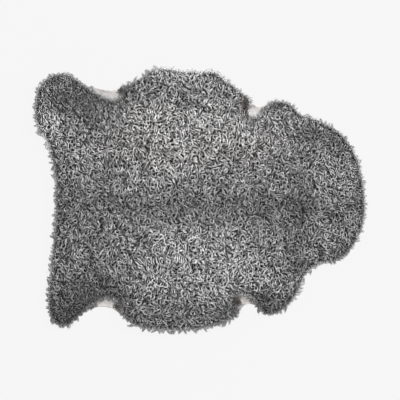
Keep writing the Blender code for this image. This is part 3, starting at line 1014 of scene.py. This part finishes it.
def nap_group():
    """Colour and relief of a soft uneven surface: broad pale and dark clouds with a fine grain over them."""
    tree, given, result = new_effect("soft nap", ("Dark", "Pale"), ("Cloud Size", "Grain Size", "Grain"))
    place = add_node(tree, "ShaderNodeTexCoord", 0, 2).outputs["Object"]
    cloud = add_noise(tree, 2, 1, place, given["Cloud Size"], 4.0)
    grain = add_noise(tree, 2, 2, place, given["Grain Size"], 3.0)
    both = {0: given["Grain"], 2: cloud, 3: grain}
    mixed = add_node(tree, "ShaderNodeMix", 4, 1, both, data_type="FLOAT").outputs[0]
    contrast = add_range(tree, 5, 1, {"Value": mixed, "From Min": 0.3, "From Max": 0.7}, "SMOOTHSTEP")
    colour = add_node(tree, "ShaderNodeMix", 6, 0, data_type="RGBA")
    feed(tree, colour, {0: contrast, 6: given["Dark"], 7: given["Pale"]})
    feed(tree, result, {"Color": colour.outputs[2], "Relief": mixed})
    return tree


def new_material(name, effect, values, ridges, shader, stored=()):
    """A material whose colour and relief come from an effect, which may take what a piece has stored."""
    material = bpy.data.materials.new(name)
    material.use_nodes = True
    tree = material.node_tree
    made = add_node(tree, "ShaderNodeGroup", -3, 0, values, node_tree=effect)
    for row, label in enumerate(stored):
        source = add_node(tree, "ShaderNodeAttribute", -5, row, attribute_name=label.lower())
        feed(tree, made, {label: source.outputs["Color"]})
    bump = add_node(tree, "ShaderNodeBump", -1, 1, {"Height": made.outputs["Relief"], **ridges})
    surface = {"Base Color": made.outputs["Color"], "Normal": bump.outputs["Normal"], **shader}
    feed(tree, tree.nodes["Principled BSDF"], surface)
    return material


def wool_material(name, values, shader):
    """A wool whose tint and place along each lock come from the strands themselves."""
    ridges = {"Strength": 0.5, "Distance": 0.4 * MM}
    sheen = {"Sheen Roughness": 0.4, **shader}
    return new_material(name, wool_fibres, values, ridges, sheen, ("Tint", "Place"))


# ---------------------------------------------------------------- pieces


def make_hide():
    """The tanned skin, with an uneven cut edge and fine wrinkles where it is bare."""
    triangles = node_triangles("hide")
    tree = tree_of(triangles)
    edge = rounded(resample(border(triangles[upward(triangles) > 0.5]), HIDE_STEP), 2)
    edge -= outward_of(edge) * (HIDE_TRIM + HIDE_UNEVEN * ripple(edge, HIDE_WANDER, 8)[:, None])
    rings = []
    for inset in HIDE_RINGS:
        ring = edge - outward_of(rounded(edge, 6)) * inset
        rings.append(ring[is_inside(ring, edge) & (distance_to(ring, edge) > inset * HIDE_RING_CLEAR)])
    inner = scattered(edge, HIDE_GRID, HIDE_JITTER, HIDE_INNER, np.random.default_rng(SEED))
    spots, faces = cover(edge, rings, inner)
    under = np.nan_to_num(heights(tree, spots, from_below=True))
    over = np.nan_to_num(heights(tree, spots), nan=HIDE_THICKNESS)
    wrinkled = ease((WRINKLED - distance_to(spots, edge)) / WRINKLE_FADE)
    over += WRINKLE * ripple(spots, WRINKLE_SIZE, 12) * wrinkled
    piece = closed_sheet("hide_skin", len(edge), spots, under, over, faces, hide_suede)
    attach(piece, "root")
    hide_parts("hide")
    return piece


def dress(piece):
    """Hang a piece of the wool on the root body and hide the frame's fleece that it stands for."""
    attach(piece, "root")
    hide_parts("fleece")
    return piece


def make_underwool(foot, relief):
    """The felted base of the wool, which closes the gaps between the curls; its near-black colour is painted
    shade for those gaps.
    """
    edge = resample(foot, UNDERWOOL_STEP)
    edge -= outward_of(rounded(edge, 4)) * UNDERWOOL_TRIM
    rng = np.random.default_rng(SEED + 1)
    inner = scattered(edge, UNDERWOOL_GRID, UNDERWOOL_JITTER, UNDERWOOL_INNER, rng)
    spots, faces = cover(edge, [], inner)
    share = UNDERWOOL_SHARE * (1.0 + UNDERWOOL_UNEVEN * ripple(spots, UNDERWOOL_WAVES, 4))
    top = height_at(relief, spots)
    over = np.maximum(np.minimum(top * share, top - UNDERWOOL_BELOW), HIDE_THICKNESS + UNDERWOOL_LEAST)
    under = np.full(len(spots), HIDE_THICKNESS + UNDERWOOL_GAP)
    return dress(closed_sheet("underwool", len(edge), spots, under, over, faces, felted_wool))


def joined_curls(foot, relief, rng):
    """The curls of the top, the short nap and the rim, coloured and in one lot."""
    lots = (
        cover_curls(foot, relief, rng),
        nap_curls(foot, relief, rng),
        rim_curls(foot, relief, rng),
        edge_nap(foot, relief, rng),
        overhangs(relief, rng),
    )
    return joined(*(coloured(lot, rng) for lot in lots))


def make_wool():
    """Every piece of the wool: the underwool, the curls by region, the rim's points and the stray fibres."""
    triangles = node_triangles("fleece")
    level = (np.abs(triangles[:, :, 2] - FOOT_HEIGHT) < 0.1 * MM).all(axis=1)
    base = triangles[(upward(triangles) < -0.9) & level]
    foot = resample(border(base)[::-1], FOOT_STEP)
    relief = relief_of(triangles)
    rng = np.random.default_rng(SEED + 2)
    pieces = [make_underwool(foot, relief)]
    curls = joined_curls(foot, relief, rng)
    root_x = curls.paths[:, 0, 0]
    start = -1.0
    for name, end in REGIONS:
        region = chosen(curls, (root_x >= start) & (root_x < end))
        pieces.append(dress(strand_piece(name, region, curled_wool)))
        start = end
    points = coloured(rim_points(foot, relief, rng), rng)
    pieces.append(dress(strand_piece("rim_points", points, rim_wool)))
    strays = coloured(stray_fibres(foot, relief, rng), rng)
    pieces.append(dress(strand_piece("stray_fibres", strays, loose_wool)))
    return pieces


# ---------------------------------------------------------------- finishes

wool_fibres = fibre_group()
soft_nap = nap_group()

# Deep Shade, Side Shade and Tip Light set how much painted shade and light each wool takes.
curled_wool = wool_material(
    "curled wool",
    {"Streaks": 0.8, "Deep Shade": 0.22, "Side Shade": 0.34, "Tip Light": 1.15},
    {"Roughness": 0.45, "Sheen Weight": 0.25},
)
rim_wool = wool_material(
    "rim wool",
    {"Streaks": 0.6, "Deep Shade": 0.25, "Side Shade": 0.3, "Tip Light": 0.8},
    {"Roughness": 0.55, "Sheen Weight": 0.3},
)
loose_wool = wool_material(
    "loose wool",
    {"Streaks": 0.1, "Deep Shade": 0.5, "Side Shade": 0.8, "Tip Light": 1.3},
    {"Roughness": 0.5, "Sheen Weight": 0.3},
)
# The felted base's near-black greys are painted shade for the deep gaps between the curls.
felted_shade_greys = {"Dark": (0.012, 0.012, 0.012, 1.0), "Pale": (0.09, 0.089, 0.088, 1.0)}
felted_wool = new_material(
    "felted wool",
    soft_nap,
    {**felted_shade_greys, "Cloud Size": 60.0, "Grain Size": 450.0, "Grain": 0.5},
    {"Strength": 0.8, "Distance": 2.0 * MM},
    {"Roughness": 0.95},
)
suede_greys = {"Dark": (0.43, 0.408, 0.397, 1.0), "Pale": (0.68, 0.652, 0.637, 1.0)}
hide_suede = new_material(
    "hide suede",
    soft_nap,
    {**suede_greys, "Cloud Size": 55.0, "Grain Size": 900.0, "Grain": 0.35},
    {"Strength": 0.6, "Distance": 0.7 * MM},
    {"Roughness": 0.85, "Sheen Weight": 0.15},
)

# ---------------------------------------------------------------- the rug

hide_skin = make_hide()
wool = make_wool()

# ---------------------------------------------------------------- floor, light and camera

FLOOR_RADIUS = 14.0
FLOOR_CORNERS = 96
FLOOR_GAP = 0.4 * MM  # how far the floor lies under the rug
# How far out and up the floor's far edge sweeps to become a backdrop, in metres.
BACKDROP = ((0.0, 0.0), (0.35, 0.05), (0.65, 0.22), (0.85, 0.5), (0.95, 0.9), (1.0, 3.8))
CAMERA_PLACE = (0.0006, -0.0012, 2.55)
WHITE = (1.0, 1.0, 1.0, 1.0)

# Where each softbox stands, how wide it is and how strong, in metres and watts.
SOFTBOXES = (
    ("key softbox", (2.8, 1.6, 1.5), 1.2, 230.0),
    ("fill softbox", (-2.4, 1.2, 0.9), 1.6, 40.0),
    ("low softbox", (0.2, -2.6, 0.9), 1.6, 40.0),
)


def make_floor():
    """A plain pale round floor, just under the rug, that sweeps up into a backdrop far from it."""
    turn = np.linspace(0.0, FULL_TURN, FLOOR_CORNERS, endpoint=False)
    rim = np.column_stack([np.cos(turn), np.sin(turn), np.zeros(FLOOR_CORNERS)])
    points = np.vstack([rim * (FLOOR_RADIUS + out) + (0.0, 0.0, up - FLOOR_GAP) for out, up in BACKDROP])
    edge = np.arange(FLOOR_CORNERS)
    after = np.roll(edge, -1)
    wall = np.column_stack([edge, edge + FLOOR_CORNERS, after + FLOOR_CORNERS, after])
    walls = np.vstack([wall + ring * FLOOR_CORNERS for ring in range(len(BACKDROP) - 1)])
    material = bpy.data.materials.new("pale floor")
    material.use_nodes = True
    plain = {"Base Color": (0.02, 0.02, 0.02, 1.0), "Roughness": 1.0, "Specular IOR Level": 0.0}
    glow = {"Emission Color": WHITE, "Emission Strength": 0.895}
    feed(material.node_tree, material.node_tree.nodes["Principled BSDF"], {**plain, **glow})
    floor = new_piece("floor", points, (edge[None], walls), material)


def make_softbox(name, place, size, power):
    """A square soft light that faces the rug."""
    light = bpy.data.lights.new(name, "AREA")
    light.shape = "SQUARE"
    light.size = size
    light.energy = power
    lamp = put(name, light)
    lamp.location = place
    lamp.rotation_euler = (-Vector(place)).to_track_quat("-Z", "Y").to_euler()


def make_sky():
    """A plain pale sky that lights the rug softly from all round."""
    world = bpy.data.worlds.new("pale sky")
    world.use_nodes = True
    feed(world.node_tree, world.node_tree.nodes["Background"], {"Color": WHITE, "Strength": 0.3})
    bpy.context.scene.world = world


def make_camera():
    """A camera straight above the rug."""
    lens = bpy.data.cameras.new("overhead camera")
    lens.lens = 85.0
    camera = put("overhead camera", lens)
    camera.location = CAMERA_PLACE
    bpy.context.scene.camera = camera


make_floor()
for softbox in SOFTBOXES:
    make_softbox(*softbox)
make_sky()
make_camera()
bpy.context.scene.view_settings.view_transform = "Standard"
